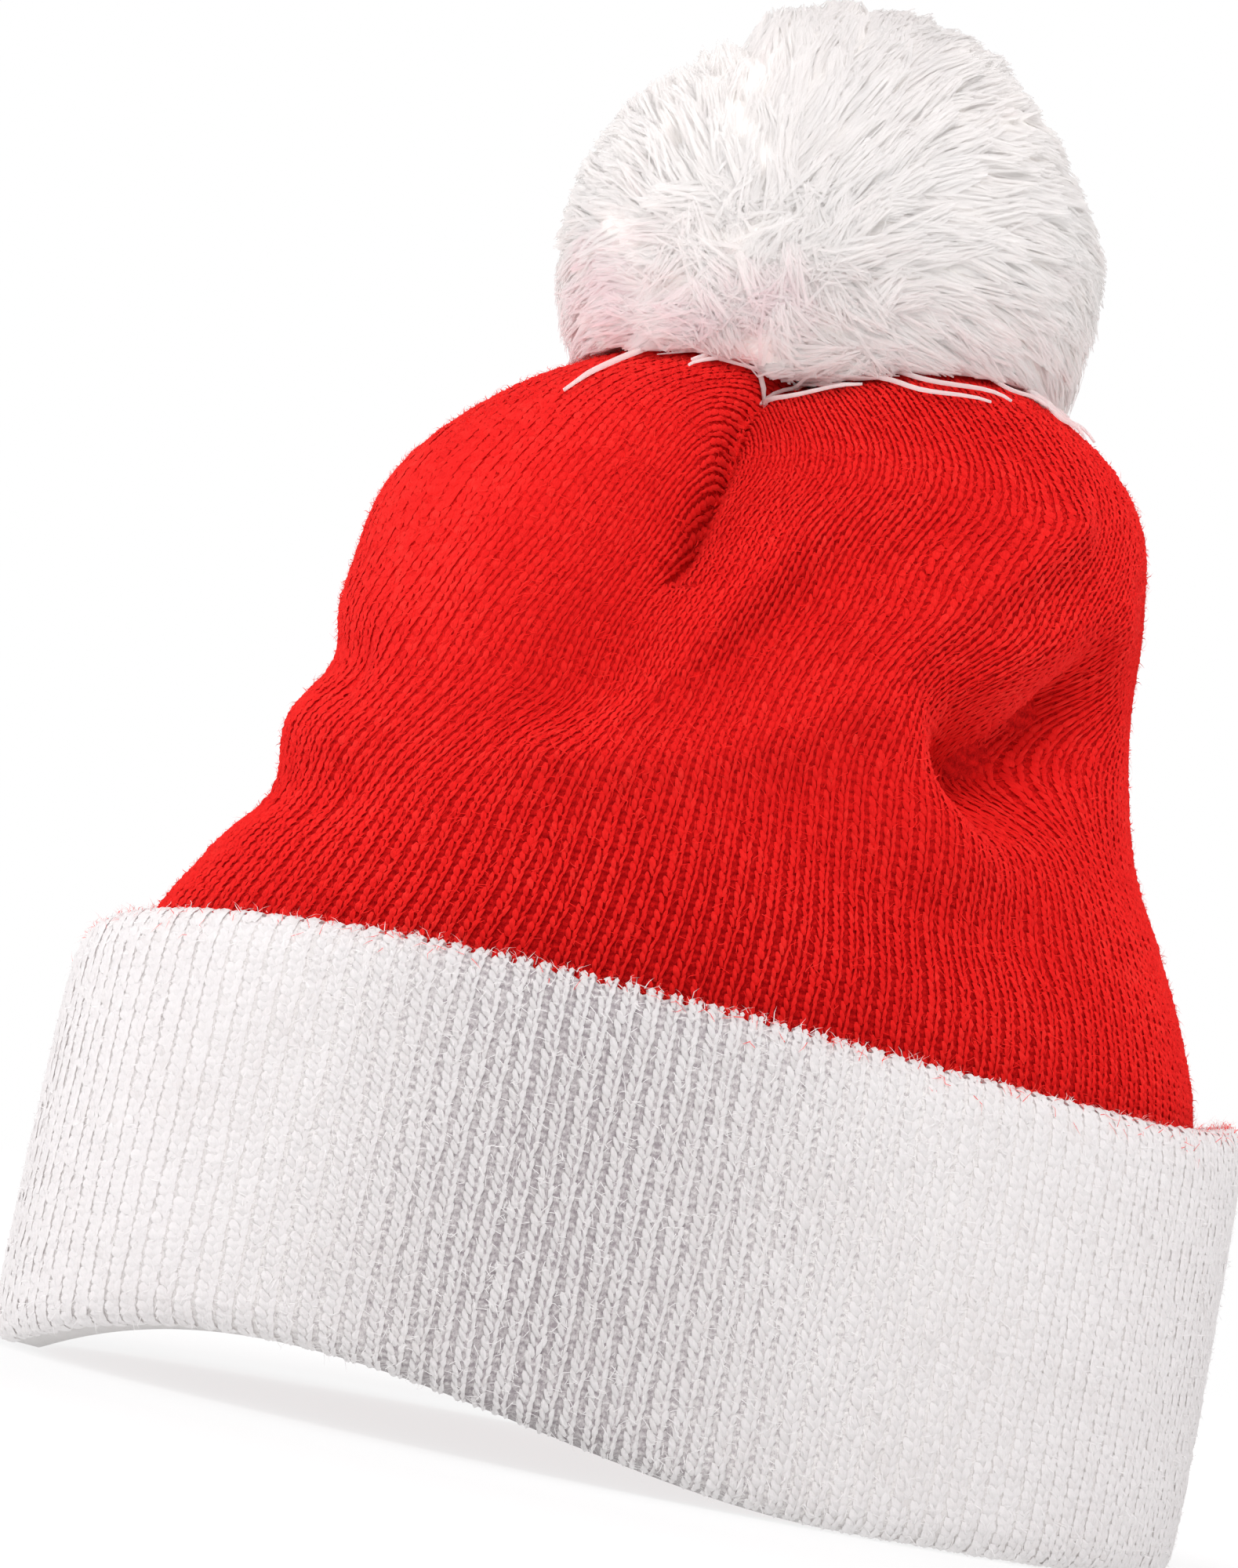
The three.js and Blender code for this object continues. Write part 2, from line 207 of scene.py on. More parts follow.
# Ribs beside a gore that may be drawn into it, and how far stitches reach over a seam
SPARE_RIBS = 6
SEAM_REACH_RIBS = 0.4
SEAM_REACH_DEGREES = 0.3
# The legs of a stitch: side of the rib's middle, slant and width in ribs, start in courses, rows
LEFT_LEG = (-1, -0.2, 0.42, 0, 4)
RIGHT_LEG = (1, 0.06, 0.31, 1 / 3, 3)
LEG_LENGTH = 1.38
LEG_SPREAD = 0.19
LEG_SPREAD_TOP = 0.055
LEG_CREST = 0.04
LEG_TUCK = 0.34
LEG_ROUND = 0.55
# How far felting broadens a leg, lifts its tucked ends and flattens it, and how far felt paints it paler
# and ribs apart paint it darker: painted light and shade
FELT_BROADENS = 0.85
FELT_LIFTS = 0.65
FELT_FLATTENS = 0.5
FELT_LIGHT_AND_SHADE = 0.02
# How far legs differ: to the side in ribs, in slant, width, along in courses, in height and shade
LEG_DIFFERENCES = (0.03, 0.2, 0.1, 0.06, 0.07, 0.05)

# How far the yarn's pattern moves on from one rib or strand to the next
NEXT_RIB = 7.3
NEXT_STRAND = 9.7

# Loose fibres on the yarn: how many, and their least and greatest length, rise and width
CROWN_FIBRES = 48000
CUFF_FIBRES = 15000
EDGE_FIBRES = 3500
CROWN_FIBRE = (1.2, 3.2, 0.4, 0.13)
CUFF_FIBRE = (1.2, 3, 0.4, 0.13)
EDGE_FIBRE = (1.5, 3.5, 0.5, 0.1)
FIBRES_FROM = 68

# Pompom: strands lie away from a parting low at the front and run together under the ball
POMPOM_CENTRE = np.array([2.6, 0, 206])
POMPOM_RADIUS = 47
POMPOM_PILE = 2
POMPOM_FOOT = 179
POMPOM_MOST = 2.4
POMPOM_STRANDS = 44000
POMPOM_CLUMPS = 900
CLUMP_PULL = 0.34
STRAND_LENGTH = 17
STRAND_WIDTH = 0.58
STRAND_TAPER = np.array([0.8, 1.0, 0.9, 0.4])
STRAND_ROOT = 1.5
STRAND_CURVE = 0.7
# Least and greatest share of a strand's length and width
STRAND_LENGTHS = (0.75, 1.15)
STRAND_WIDTHS = (0.75, 1.2)
# How far clumps, and the strands in them, differ: in place, reach, lie, and lie close to the parting
CLUMP_DIFFERENCES = (0.07, 0.45, 0.16, 1.1)
STRAND_DIFFERENCES = (0.03, 0.3, 0.1, 0.7)
STRAND_BEND = 0.35
STRAND_TILT = 0.15
SHADE_DIFFERENCE = 0.05
FOOT_DIFFERENCE = 0.8
CORE_DIFFERENCE = 0.3
# How far the strands and the core keep above the crown
STRANDS_ABOVE = 0.9
CORE_ABOVE = 0.4
PARTED_AT = (-0.24, -0.86, -0.45)
PARTING_WIDTH = 0.12
GATHERED_AT = (0.1, 0.45, -0.89)
# Clefts that run over the pompom from front to back: degrees right of its top, width, depth
CLEFTS = [
    (-48, 4.5, 4.5), (-34, 5, 12), (-46, 24, 4), (-4, 14, 2.4), (15, 4, 2.5), (43, 14, 2), (60, 12, 3),
]
CLEFT_FADE = 0.5
YARN_SHADE = 0.2
# Low strands get painted red bounce light from the crown below, a pink tint: how far, and the heights where
# it is full and gone
PAINTED_BOUNCE = 0.3
PAINTED_BOUNCE_HEIGHTS = (186, 214)

# Yarn ends that lie on the crown below the pompom: from and to, as bearing and height, sag, thickness
LOOSE_ENDS = {
    "long end": (-50, 184, -46, 167, 1, 1.1),
    "left tuft, outer": (-37, 186, -34, 177, 1, 0.9),
    "left tuft, middle": (-33, 186, -31, 176, -1, 0.9),
    "left tuft, inner": (-29, 187, -34, 179, 1, 0.8),
    "hanging loop": (-34, 184, -2, 178, 2.5, 0.9),
    "second loop": (-18, 185, 2, 179, 2, 0.9),
    "low strand": (-10, 184, 24, 177, 1.5, 0.9),
    "low strand above": (-4, 185, 30, 179, 1.5, 0.9),
    "right tuft": (43, 185, 50, 178, 0.5, 0.9),
    "right tuft, outer": (47, 185, 56, 179, -0.5, 0.8),
}
# More at random all round: how many, upper height, range of the lower end's height, thickness
MORE_LOOSE_ENDS = 26
MORE_ENDS_FROM = 186
MORE_ENDS_TO = (179, 184)
MORE_ENDS_THICK = 0.8


def smooth(value, low, high):
    t = np.clip((value - low) / (high - low), 0, 1)
    return t * t * (3 - 2 * t)


def hump(value, middle, width):
    """1 at the middle, falling away smoothly on both sides."""
    return np.exp(-(((value - middle) / width) ** 2))


def degrees_from(middle, bearing):
    """How far a bearing lies from a middle one, negative on its left."""
    return (bearing - middle + 540) % 360 - 180


def unit(vectors):
    return vectors / np.maximum(np.linalg.norm(vectors, axis=-1, keepdims=True), 1e-9)


def waves(table, bearing):
    total = np.zeros_like(bearing)
    for middle, spread, lift in table:
        apart = np.abs(degrees_from(middle, bearing))
        wave = lift * 0.5 * (1 + np.cos(np.pi * apart / spread))
        total += np.where(apart < spread, wave, 0)
    return total


def bearing_of(knit, height):
    """Where a turn of the knit shows, as the crown twists on its way up."""
    turn = np.radians(knit)
    shift = RIB_CROWDING * (np.cos(turn) - 1) - EVEN_PITCH * np.sin(2 * turn)
    bearing = knit + np.degrees(shift)
    for twist, low, high in TWISTS:
        bearing = bearing + twist * smooth(height, low, high)
    return bearing


def section(rise):
    """Height, left, right, front and back of the crown at a rise from 0 to 1."""
    first = 2 * CROWN_SECTIONS[0] - CROWN_SECTIONS[1]
    last = 2 * CROWN_SECTIONS[-1] - CROWN_SECTIONS[-2]
    rows = np.vstack([first, CROWN_SECTIONS, last])
    spans = len(CROWN_SECTIONS) - 1
    place = np.clip(rise, 0, 1) * spans
    i = np.minimum(place.astype(int), spans - 1)
    t = (place - i)[..., None]
    a, b, c, d = rows[i], rows[i + 1], rows[i + 2], rows[i + 3]
    bend = 3 * (b - c) + d - a
    curve = b + 0.5 * t * (c - a + t * (2 * a - 5 * b + 4 * c - d + t * bend))
    return np.moveaxis(curve, -1, 0)


def crown_plain(bearing, rise):
    """The crown's outside before its folds and darts."""
    height, left, right, front, back = section(rise)
    turn = np.radians(bearing)
    x = (right - left) / 2 + (left + right) / 2 * np.sin(turn)
    y = (back - front) / 2 - (front + back) / 2 * np.cos(turn)
    return np.stack([x, y, height + 0 * x], -1)


def crown_normal(bearing, rise):
    step = 0.004
    low = np.maximum(0, rise - step)
    high = np.minimum(1 - step, rise + step)
    up = crown_plain(bearing, high) - crown_plain(bearing, low)
    level = np.minimum(rise, 1 - step)
    across = crown_plain(bearing + 1, level) - crown_plain(bearing - 1, level)
    return unit(np.cross(across, up))


def fold_relief(row, bearing, height, girth):
    b0, h0, b1, h1, b2, h2, width, depth = row
    nearest = np.full_like(girth, np.inf)
    for t in np.linspace(0, 1, 15):
        u = 1 - t
        b = u * u * b0 + 2 * u * t * b1 + t * t * b2
        h = u * u * h0 + 2 * u * t * h1 + t * t * h2
        apart = degrees_from(b, bearing)
        nearest = np.minimum(nearest, np.hypot(np.radians(apart) * girth, height - h))
    return depth * hump(nearest, 0, width)


def from_dart(knit):
    """Degrees from the nearest dart, negative on its left."""
    return (knit - FIRST_DART + GORE / 2 + 720) % GORE - GORE / 2


def crown_relief(knit, bearing, rise, plain):
    """How far folds, darts and seams move the crown's outside along its normal."""
    height = plain[..., 2]
    girth = np.hypot(plain[..., 0], plain[..., 1])
    rows = [*FOLDS.values(), *CREASES.values()]
    relief = sum(fold_relief(row, bearing, height, girth) for row in rows)
    apart = from_dart(knit)
    across = np.radians(apart) * girth
    steep = np.exp(np.minimum(across, 0) / DART_WIDTH_LEFT)
    gentle = hump(across, 0, DART_WIDTH_RIGHT)
    dart = smooth(height, *DART_OPENS) * (1 - smooth(rise, DART_CLOSES, 1))
    seam = smooth(height, *SEAM_OPENS) * (1 - SEAM_FADE * smooth(height, *SEAM_FADE_HEIGHTS))
    relief -= dart * DART_DEPTH * np.where(across < 0, steep, gentle)
    relief -= seam * SEAM_GROOVE * np.exp(-np.abs(across) / SEAM_WIDTH)
    return relief + dart * GORE_PUFF * np.sin(np.pi * np.abs(apart) / GORE) ** 2


def crown_point(knit, rise):
    bearing = bearing_of(knit, section(rise)[0])
    plain = crown_plain(bearing, rise)
    relief = crown_relief(knit, bearing, rise, plain)
    return plain + crown_normal(bearing, rise) * relief[..., None]


class Cloth:
    """A cloth's outside, sampled once on an even grid and then read at any turn and way along."""

    def __init__(self, place, length, columns, rows):
        self.length = length
        turn = np.arange(columns) * 360 / columns
        knit, along = np.meshgrid(turn, np.linspace(0, length, rows))
        self.points = place(knit, along)
        across = np.roll(self.points, -1, 1) - np.roll(self.points, 1, 1)
        self.normals = unit(np.cross(across, np.gradient(self.points, axis=0)))

    def at(self, knit, along, out=0.0):
        """Points on the cloth, or so far out from it."""
        rows, columns = self.points.shape[:2]
        across = (knit % 360) * columns / 360
        up = np.clip(along / self.length, 0, 1) * (rows - 1)
        i = across.astype(int)
        j = np.minimum(up.astype(int), rows - 2)
        s = (across - i)[..., None]
        t = (up - j)[..., None]
        i = i % columns
        k = (i + 1) % columns

        def mix(grid):
            low = grid[j, i] * (1 - s) + grid[j, k] * s
            high = grid[j + 1, i] * (1 - s) + grid[j + 1, k] * s
            return low * (1 - t) + high * t

        return mix(self.points) + unit(mix(self.normals)) * np.asarray(out)[..., None]

    def girth(self, along):
        ring = np.linalg.norm(np.roll(self.points, -1, 1) - self.points, axis=-1).sum(1)
        return np.interp(along, np.linspace(0, self.length, len(ring)), ring)


# The crown's way along is its mean length over the cloth from the lower edge to the apex
RISES = np.linspace(0, 1, 600)


def crown_ways():
    """The way along at each of the rises."""
    turns, levels = np.meshgrid(np.arange(0, 360, 15.0), RISES)
    steps = np.linalg.norm(np.diff(crown_plain(turns, levels), axis=0), axis=-1).mean(1)
    return np.concatenate([[0], np.cumsum(steps)])


CROWN_WAYS = crown_ways()
CROWN_LENGTH = CROWN_WAYS[-1]


def crown_way(height):
    return np.interp(height, section(RISES)[0], CROWN_WAYS)


def crown_height(along):
    return np.interp(along, CROWN_WAYS, section(RISES)[0])


def crown_place(knit, along):
    return crown_point(knit, np.interp(along, CROWN_WAYS, RISES))


def cuff_place(table):
    """A place function for a cloth that follows a table of offsets and heights, and its length."""
    offsets, heights = np.array(table).T
    way = np.concatenate([[0], np.cumsum(np.hypot(np.diff(offsets), np.diff(heights)))])

    def place(knit, along):
        offset = np.interp(along, way, offsets)
        height = np.interp(along, way, heights)
        bearing = bearing_of(knit, 0)
        turn = np.radians(bearing)
        out = unit(np.stack([np.sin(turn) * CUFF_HALF_DEPTH, -np.cos(turn) * CUFF_HALF_WIDTH], -1))
        share = np.minimum(1, height / CUFF_HEIGHT)
        lift = waves(RIM_WAVES, bearing) * (1 - share) + waves(CUFF_TOP_WAVES, bearing) * share
        x = CUFF_HALF_WIDTH * np.sin(turn) + out[..., 0] * offset
        y = -CUFF_HALF_DEPTH * np.cos(turn) + out[..., 1] * offset
        return np.stack([x, y, height + lift], -1)

    return place, way[-1]


crown = Cloth(crown_place, CROWN_LENGTH, columns=900, rows=300)
cuff = Cloth(*cuff_place(CUFF_FACE), columns=720, rows=220)
CUFF_EDGE_WAY = cuff.length - EDGE_BACK
DART_WAY = crown_way(DART_HEIGHT)
CROWN_TOP_WAY = crown_way(CROWN_STITCHES_TO)


def node(tree, kind, **values):
    """A shader node with its settings and inputs."""
    made = tree.nodes.new(kind)
    for name, value in values.items():
        if hasattr(made, name):
            setattr(made, name, value)
        else:
            made.inputs[name.replace("_", " ").title()].default_value = value
    return made


def set_inputs(made, values):
    for name, value in values.items():
        made.inputs[name].default_value = value


def multiply_add(tree, factor):
    """A node that multiplies its first input by a factor and adds its third."""
    made = node(tree, "ShaderNodeMath", operation="MULTIPLY_ADD")
    made.inputs[1].default_value = factor
    return made


def new_material(name):
    material = bpy.data.materials.new(name)
    material.use_nodes = True
    return material, material.node_tree, material.node_tree.nodes["Principled BSDF"]


def colour_ramp(tree, stops):
    """A ramp through colours at places from 0 to 1."""
    ramp = node(tree, "ShaderNodeValToRGB")
    elements = ramp.color_ramp.elements
    while len(elements) < len(stops):
        elements.new(0.5)
    for element, (place, colour) in zip(elements, stops):
        element.position = place
        element.color = (*colour, 1)
    return ramp


def yarn_material(name, deep, middle, pale, bump, sheen, through):
    """Matt yarn that lets some light through: fibres run along it, and each stitch has its own shade, with
    painted light and shade added to it in places.
    """
    material, tree, shader = new_material(name)
    yarn = node(tree, "ShaderNodeUVMap", uv_map="knit")
    twist = node(tree, "ShaderNodeMapping", Rotation=(0, 0, 0.4), Scale=(5.5, 0.9, 1))
    fibre = node(tree, "ShaderNodeTexNoise", Scale=1.0, Detail=3.0, Roughness=0.65)
    place = node(tree, "ShaderNodeTexCoord")
    patch = node(tree, "ShaderNodeTexNoise", Scale=55.0, Detail=2.0)
    shade = node(tree, "ShaderNodeAttribute", attribute_name="shade")
    with_fibre = multiply_add(tree, 0.6)
    with_patch = multiply_add(tree, 0.35)
    ramp = colour_ramp(tree, [(0.12, deep), (0.5, middle), (0.95, pale)])
    relief = node(tree, "ShaderNodeBump", Strength=bump, Distance=0.0003)
    link = tree.links.new
    link(yarn.outputs["UV"], twist.inputs["Vector"])
    link(twist.outputs["Vector"], fibre.inputs["Vector"])
    link(place.outputs["Object"], patch.inputs["Vector"])
    link(fibre.outputs["Fac"], with_fibre.inputs[0])
    link(shade.outputs["Fac"], with_fibre.inputs[2])
    link(patch.outputs["Fac"], with_patch.inputs[0])
    link(with_fibre.outputs[0], with_patch.inputs[2])
    link(with_patch.outputs[0], ramp.inputs["Fac"])
    link(ramp.outputs["Color"], shader.inputs["Base Color"])
    link(fibre.outputs["Fac"], relief.inputs["Height"])
    link(relief.outputs["Normal"], shader.inputs["Normal"])
    set_inputs(shader, {"Roughness": 0.9, "Specular IOR Level": 0.1})
    set_inputs(shader, {"Sheen Weight": sheen, "Sheen Roughness": 0.5, "Sheen Tint": (*pale, 1)})
    inner = node(tree, "ShaderNodeBsdfTranslucent")
    both = node(tree, "ShaderNodeMixShader", Fac=through)
    link(ramp.outputs["Color"], inner.inputs["Color"])
    link(shader.outputs["BSDF"], both.inputs[1])
    link(inner.outputs["BSDF"], both.inputs[2])
    link(both.outputs["Shader"], tree.nodes["Material Output"].inputs["Surface"])
    return material


def cloth_material(name, painted_gap_shade, bar, contrast):
    """The back of the knit that shows between the ribs: dark gaps of painted shade, crossed by a pale bar
    at each course.
    """
    material, tree, shader = new_material(name)
    knit = node(tree, "ShaderNodeUVMap", uv_map="knit")
    split = node(tree, "ShaderNodeSeparateXYZ")
    turn = node(tree, "ShaderNodeMath", operation="MULTIPLY")
    turn.inputs[1].default_value = 2 * math.pi
    wave = node(tree, "ShaderNodeMath", operation="SINE")
    # The shade attribute holds the felt: it paints the cloth lighter where felted and darker where ribs
    # stand apart, painted light and shade
    felt = node(tree, "ShaderNodeAttribute", attribute_name="shade")
    bars = multiply_add(tree, contrast)
    place = node(tree, "ShaderNodeTexCoord")
    fibre = node(tree, "ShaderNodeTexNoise", Scale=1600.0, Detail=3.0, Roughness=0.7)
    with_fibre = multiply_add(tree, 1.62)
    ramp = colour_ramp(tree, [(0.3, painted_gap_shade), (1.0, bar)])
    relief = node(tree, "ShaderNodeBump", Strength=0.6, Distance=0.0004)
    link = tree.links.new
    link(knit.outputs["UV"], split.inputs[0])
    link(split.outputs["Y"], turn.inputs[0])
    link(turn.outputs[0], wave.inputs[0])
    link(wave.outputs[0], bars.inputs[0])
    link(felt.outputs["Fac"], bars.inputs[2])
    link(place.outputs["Object"], fibre.inputs["Vector"])
    link(fibre.outputs["Fac"], with_fibre.inputs[0])
    link(bars.outputs[0], with_fibre.inputs[2])
    link(with_fibre.outputs[0], ramp.inputs["Fac"])
    link(ramp.outputs["Color"], shader.inputs["Base Color"])
    link(with_fibre.outputs[0], relief.inputs["Height"])
    link(relief.outputs["Normal"], shader.inputs["Normal"])
    set_inputs(shader, {"Roughness": 0.95, "Specular IOR Level": 0.05})
    set_inputs(shader, {"Sheen Weight": 0.2, "Sheen Tint": (*bar, 1)})
    return material


RED_YARN = yarn_material(
    "red_yarn",
    deep=(0.63, 0.006, 0.007), middle=(0.84, 0.016, 0.014), pale=(0.93, 0.055, 0.042),
    bump=0.4, sheen=0.2, through=0.1,
)
WHITE_YARN = yarn_material(
    "white_yarn",
    deep=(0.83, 0.8, 0.79), middle=(0.91, 0.895, 0.895), pale=(0.95, 0.94, 0.935),
    bump=0.4, sheen=0.15, through=0.25,
)
# The pompom yarn's deep colour is pink, for the painted red bounce light on its low strands
POMPOM_YARN = yarn_material(
    "pompom_yarn",
    deep=(0.98, 0.87, 0.89), middle=(0.985, 0.974, 0.966), pale=(0.99, 0.985, 0.98),
    bump=0.15, sheen=0, through=0.65,
)
PACKED_YARN = yarn_material(
    "packed_yarn",
    deep=(0.93, 0.91, 0.87), middle=(0.945, 0.93, 0.905), pale=(0.96, 0.945, 0.925),
    bump=0.15, sheen=0, through=0,
)
# Their gap colours are painted shade in the gaps between the ribs
RED_CLOTH = cloth_material("red_cloth", painted_gap_shade=(0.3, 0.002, 0.003), bar=(0.74, 0.012, 0.011), contrast=0.15)
WHITE_CLOTH = cloth_material("white_cloth", painted_gap_shade=(0.37, 0.33, 0.35), bar=(0.87, 0.85, 0.84), contrast=0.12)


def add_object(name, data):
    made = bpy.data.objects.new(name, data)
    bpy.context.scene.collection.objects.link(made)
    return made


def make_piece(name, points, faces, material, shade=None, uv=None, normals=None):
    """A smooth mesh from arrays; faces all have one number of corners."""
    points = np.asarray(points, float).reshape(-1, 3)
    points[:, 2] = np.maximum(points[:, 2], ABOVE_FLOOR)
    faces = np.asarray(faces, np.int32)
    mesh = bpy.data.meshes.new(name)
    mesh.vertices.add(len(points))
    mesh.vertices.foreach_set("co", (points * MM).astype(np.float32).ravel())
    mesh.loops.add(faces.size)
    mesh.loops.foreach_set("vertex_index", faces.ravel())
    mesh.polygons.add(len(faces))
    mesh.polygons.foreach_set("loop_start", np.arange(0, faces.size, faces.shape[1], dtype=np.int32))
    mesh.polygons.foreach_set("use_smooth", np.ones(len(faces), bool))
    if shade is not None:
        values = mesh.attributes.new("shade", "FLOAT", "POINT")
        values.data.foreach_set("value", np.asarray(shade, np.float32).ravel())
    if uv is not None:
        layer = mesh.uv_layers.new(name="knit")
        corners = np.asarray(uv, np.float32).reshape(-1, 2)[faces.ravel()]
        layer.data.foreach_set("uv", corners.ravel())
    mesh.update(calc_edges=True)
    mesh.validate()
    if normals is not None:
        mesh.normals_split_custom_set_from_vertices(np.asarray(normals).reshape(-1, 3))
    mesh.materials.append(material)
    piece = add_object(name, mesh)
    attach(piece, "root")
    return piece


def grid_faces(rows, columns, wrap_rows=False):
    """Quads over a grid whose columns close round the hat."""
    last = rows if wrap_rows else rows - 1
    r, c = np.meshgrid(np.arange(last), np.arange(columns), indexing="ij")
    s = (r + 1) % rows
    d = (c + 1) % columns
    corners = [r * columns + c, r * columns + d, s * columns + d, s * columns + c]
    return np.stack(corners, -1).reshape(-1, 4)


def repeated_faces(one, points, count):
    """The faces of one small thing, repeated for many of them with so many points each."""
    one = np.array(one)
    starts = points * np.arange(count)[:, None, None]
    return (one[None] + starts).reshape(-1, one.shape[1])


def felted(knit, height):
    """How far the crown's yarn is rubbed; the same value paints light on the yarn where felted and shade
    where ribs stand apart.
    """
    bearing = degrees_from(0, bearing_of(knit, height))
    middle, spread, level, level_spread = CROWN_FELT
    felt = hump(bearing, middle, spread) * hump(height, level, level_spread) - CROWN_APART
    for amount, middle, spread, start, full in RIBS_APART.values():
        felt = felt - amount * smooth(height, start, full) * hump(bearing, middle, spread)
    return felt


def cuff_felted(knit):
    """The same for the cuff."""
    aside = degrees_from(CUFF_APART_AT, bearing_of(knit, 0))
    spread = np.where(aside < 0, CUFF_APART_LEFT, CUFF_APART_RIGHT)
    return CUFF_FELT - CUFF_APART * hump(aside, 0, spread)


def crown_turns():
    """Even places round the crown, and more of them close to the seams."""
    even = np.arange(0, 360, CLOTH_STEP)
    seams = FIRST_DART + GORE * np.arange(DARTS)
    close = 2 * CLOTH_STEP * np.linspace(0, 1, 6) ** 2
    beside = seams[:, None] + np.concatenate([-close[1:], close])
    return np.unique(np.concatenate([even, beside.ravel() % 360]).round(3))


def make_crown_cloth():
    """The crown's wall under its stitches: outside, lower edge, inside, one closed skin."""
    turn = crown_turns()
    knit, way = np.meshgrid(turn, np.linspace(0, CROWN_LENGTH * CLOTH_END, CLOTH_ROWS))
    felt = felted(knit, crown.at(knit, way)[..., 2])
    lift = np.where(felt < 0, CROWN_FURROW, CROWN_FELT_LIFT) * felt
    outside = crown.at(knit, way, lift - CLOTH_BELOW_CREST)
    inside = crown.at(knit[::INSIDE_STEP], way[::INSIDE_STEP], -KNIT)
    inside[0, :, 2] = JOIN_HEIGHT
    outside[0, :, 2] = JOIN_HEIGHT
    points = np.concatenate([inside[::-1], outside])
    ways = np.concatenate([way[::INSIDE_STEP][::-1], way])
    # The felt also goes to the cloth's colour as painted light and shade
    tone = np.concatenate([felt[::INSIDE_STEP][::-1], felt])
    uv = np.stack([np.tile(turn / 360 * RIBS, (len(points), 1)), ways / CROWN_COURSE], -1)
    faces = grid_faces(len(points), len(turn))
    return make_piece("crown_cloth", points, faces, RED_CLOTH, shade=tone, uv=uv)


def make_cuff_cloth():
    """The cuff's doubled band and the wall behind it, one closed skin with its ribs raised a little."""
    columns = 2 * RIBS
    turn = FIRST_DART + np.arange(columns) * 360 / columns
    knit, way = np.meshgrid(turn, np.linspace(0, cuff.length, CUFF_ROWS))
    felt = cuff_felted(turn)
    furrow = np.arange(columns) % 2 * (CUFF_FURROW - CUFF_FURROW_APART * np.minimum(felt, 0))
    lift = CUFF_FELT_LIFT * np.maximum(felt, 0) - CUFF_BELOW_CREST
    outside = cuff.at(knit, way, np.broadcast_to(lift - furrow, knit.shape))
    outside[..., 2] = np.maximum(outside[..., 2], CUFF_LOWEST)
    rest = []
    for offset, height in CUFF_REST:
        place, _ = cuff_place([(offset, height), (offset, height + 1)])
        ring = place(turn, np.zeros_like(turn))
        if height == WALL_TOP:
            ring[:, 2] = WALL_TOP
        rest.append(ring)
    points = np.concatenate([outside, np.array(rest)])
    behind = cuff.length + CUFF_REST_STEP * np.arange(len(rest))[:, None]
    ways = np.concatenate([way, np.repeat(behind, columns, 1)])
    uv = np.stack([np.tile(np.arange(columns) / 2, (len(points), 1)), ways / CUFF_COURSE], -1)
    # The felt also goes to the cloth's colour as painted light and shade
    tone = np.tile(felt, (len(points), 1))
    faces = grid_faces(len(points), columns, wrap_rows=True)
    return make_piece("cuff_cloth", points, faces, WHITE_CLOTH, shade=tone, uv=uv)


def joined(lots):
    """Several lots of points, faces, shades and yarn places as one lot."""
    starts = np.cumsum([0] + [len(lot[0]) for lot in lots[:-1]])
    points, faces, shades, places = zip(*lots)
    faces = [some + start for some, start in zip(faces, starts)]
    return [np.concatenate(parts) for parts in (points, faces, shades, places)]


def make_legs(cloth, knit_of, wale, along, course, leg, spread, pitch, felt):
    """One leg of each stitch as a leaf, three points across and a few rows long, ends tucked in."""
    side, slant, width, start, rows = leg
    count = len(wale)
    wale, along, spread, pitch, felt = (a[:, None, None] for a in (wale, along, spread, pitch, felt))
    t = np.linspace(0, 1, rows)[None, :, None]
    across = np.array([-1, 0, 1])[None, None, :]
    differences = np.array(LEG_DIFFERENCES)[:, None, None, None] * chance.normal(0, 1, (6, count, 1, 1))
    aside, lean, swell, slip, rise, tone = differences
    broad = 0.5 * width * (1 + FELT_BROADENS * felt + swell) * (0.5 + 0.5 * np.sin(np.pi * t))
    at = wale + side * spread + aside + slant * (t - 0.5) * (1 + lean) + broad * across
    way = along + course * (start + LEG_LENGTH * (t - 0.5) + slip) + 0 * at
    half = 0.5 * width * pitch
    crest = LEG_CREST - LEG_TUCK * (1 - FELT_LIFTS * felt) * (2 * t - 1) ** 2 + rise
    out = crest - LEG_ROUND * (1 - FELT_FLATTENS * felt) * half * across**2
    points = cloth.at(knit_of(at, way), way, out + 0 * at).reshape(-1, 3)
    # Felt paints each leg paler and ribs apart paint it darker, painted light and shade, on top of its own
    # tone
    shade = np.repeat((FELT_LIGHT_AND_SHADE * felt + tone).ravel(), 3 * rows)
    place = np.stack([half * across + 0 * at, way + NEXT_RIB * wale], -1).reshape(-1, 2)
    corners = np.array([0, 1, 4, 3])
    one = [3 * r + c + corners for r in range(rows - 1) for c in (0, 1)]
    return points, repeated_faces(one, 3 * rows, count), shade, place


def make_stitches(name, cloth, knit_of, wale, along, course, spread, pitch, felt, material):
    """Both legs of every stitch: a thick slanting left leg and a thin, nearly upright right one."""
    legs = [
        make_legs(cloth, knit_of, wale, along, course, leg, spread, pitch, felt)
        for leg in (LEFT_LEG, RIGHT_LEG)
    ]
    points, faces, shade, place = joined(legs)
    return make_piece(name, points, faces, material, shade=shade, uv=place)


def swaying(wale, along, slow, quick, beat):
    """Ribs that wander a little to each side on their way."""
    return wale + 0.05 * np.sin(0.8 * wale + along / slow) + 0.04 * np.sin(beat * wale - along / quick)


def cuff_knit(wale, along):
    """Where a rib of the cuff runs."""
    return FIRST_DART + swaying(wale, along, 11, 6, 2.1) * 360 / RIBS


